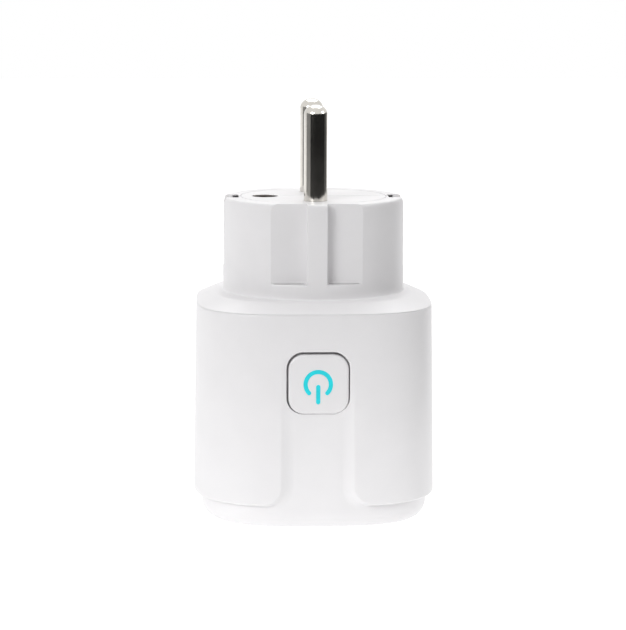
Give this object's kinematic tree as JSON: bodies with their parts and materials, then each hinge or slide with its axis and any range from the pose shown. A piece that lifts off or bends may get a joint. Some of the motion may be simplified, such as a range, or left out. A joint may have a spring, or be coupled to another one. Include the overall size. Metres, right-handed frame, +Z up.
{
  "type": "smart plug",
  "caption": "Squircle-bodied switched plug adapter: round two-pin earthed plug on top, recessed socket below, sprung square power button with a lit ring symbol on the front.",
  "frame": {"origin": "centre of the flat foot round the socket recess, at the bottom", "axes": "+Z up the plug, towards its pins; -Y is the front with the button; +X is to the right seen from the front"},
  "size_m": [0.0496, 0.0494, 0.0845],
  "materials": {
    "shell_plastic": "satin white moulding",
    "socket_plastic": "satin white moulding",
    "button_plastic": "satin white moulding",
    "symbol_light": "translucent, lit from behind",
    "shutter_plastic": "moulded",
    "nickel": "nickel plated, polished",
    "brass": "stamped",
    "copper": "enamelled copper wire",
    "steel": "zinc plated",
    "board": "solder-masked glass epoxy",
    "wifi_board": "solder-masked glass epoxy",
    "black_plastic": "moulded",
    "cream_plastic": "moulded",
    "relay_plastic": "moulded",
    "lamp_lens": "cast resin",
    "shield_metal": "tinned",
    "can_sleeve": "shrink sleeve",
    "film_yellow": "moulded box",
    "varistor_blue": "dipped coating",
    "resistor_coat": "cement coating",
    "ferrite": "ferrite and wound wire"
  },
  "bodies": {
    "case": {"main_housing": "shell_plastic", "pin_cover": "shell_plastic", "socket_cup": "socket_plastic", "cup_screws": "steel", "shutter_retainer": "socket_plastic", "shutter_screws": "steel", "shutter_spring": "steel", "line_pin": "nickel", "neutral_pin": "nickel", "pin_retainer": "black_plastic", "retainer_screws": "steel", "line_busbar": "brass", "neutral_busbar": "brass", "line_contact": "brass", "neutral_contact": "brass", "plug_earth_strip_left": "nickel", "plug_earth_strip_right": "nickel", "earth_cross_bar": "brass", "earth_receptacle": "brass", "earth_strap_left": "brass", "earth_strap_right": "brass", "socket_earth_clip_left": "nickel", "socket_earth_clip_right": "nickel", "earth_rivets": "brass", "main_board": "board", "board_screws": "steel", "control_board": "board", "pin_header_base": "black_plastic", "header_pins": "brass", "tactile_switch_body": "black_plastic", "indicator_leds": "lamp_lens", "wifi_board": "wifi_board", "wifi_shield_can": "shield_metal", "relay_base": "black_plastic", "relay_cover": "relay_plastic", "relay_bobbin": "cream_plastic", "relay_winding": "copper", "relay_core": "steel", "relay_yoke": "steel", "relay_fixed_contact": "brass", "relay_terminals": "brass", "electrolytic_capacitors": "can_sleeve", "film_capacitor": "film_yellow", "varistor": "varistor_blue", "fuse_resistor": "resistor_coat", "inductor": "ferrite", "rectifier": "black_plastic", "power_chip": "black_plastic"},
    "button": {"button_cap": "button_plastic", "button_light_guide": "symbol_light"},
    "plunger": {"switch_plunger": "cream_plastic"},
    "shutter": {"shutter": "shutter_plastic"},
    "armature": {"relay_armature": "steel", "relay_moving_contact": "brass"}
  },
  "joints": [
    {"name": "button_press", "type": "slide", "parent": "case", "child": "button", "axis": [0, 1, 0], "range_m": [0, 0.00035], "stiffness_N_per_m": 2000},
    {"name": "plunger_travel", "type": "slide", "parent": "case", "child": "plunger", "axis": [0, 1, 0], "range_m": [0, 0.00035]},
    {"name": "shutter_turn", "type": "hinge", "parent": "case", "child": "shutter", "pos_m": [0, 0, 0.0205], "axis": [0, 0, 1], "range_deg": [0, 40], "stiffness_Nm_per_rad": 0.004, "deforming": ["shutter_spring"]},
    {"name": "armature_tilt", "type": "hinge", "parent": "case", "child": "armature", "pos_m": [0.0114, 0.0007, 0.0282], "axis": [1, 0, 0], "range_deg": [0, 4.5], "stiffness_Nm_per_rad": 0.02}
  ],
  "couplings": [
    {"joint": "plunger_travel", "follows": "button_press", "ratio": 1}
  ]
}
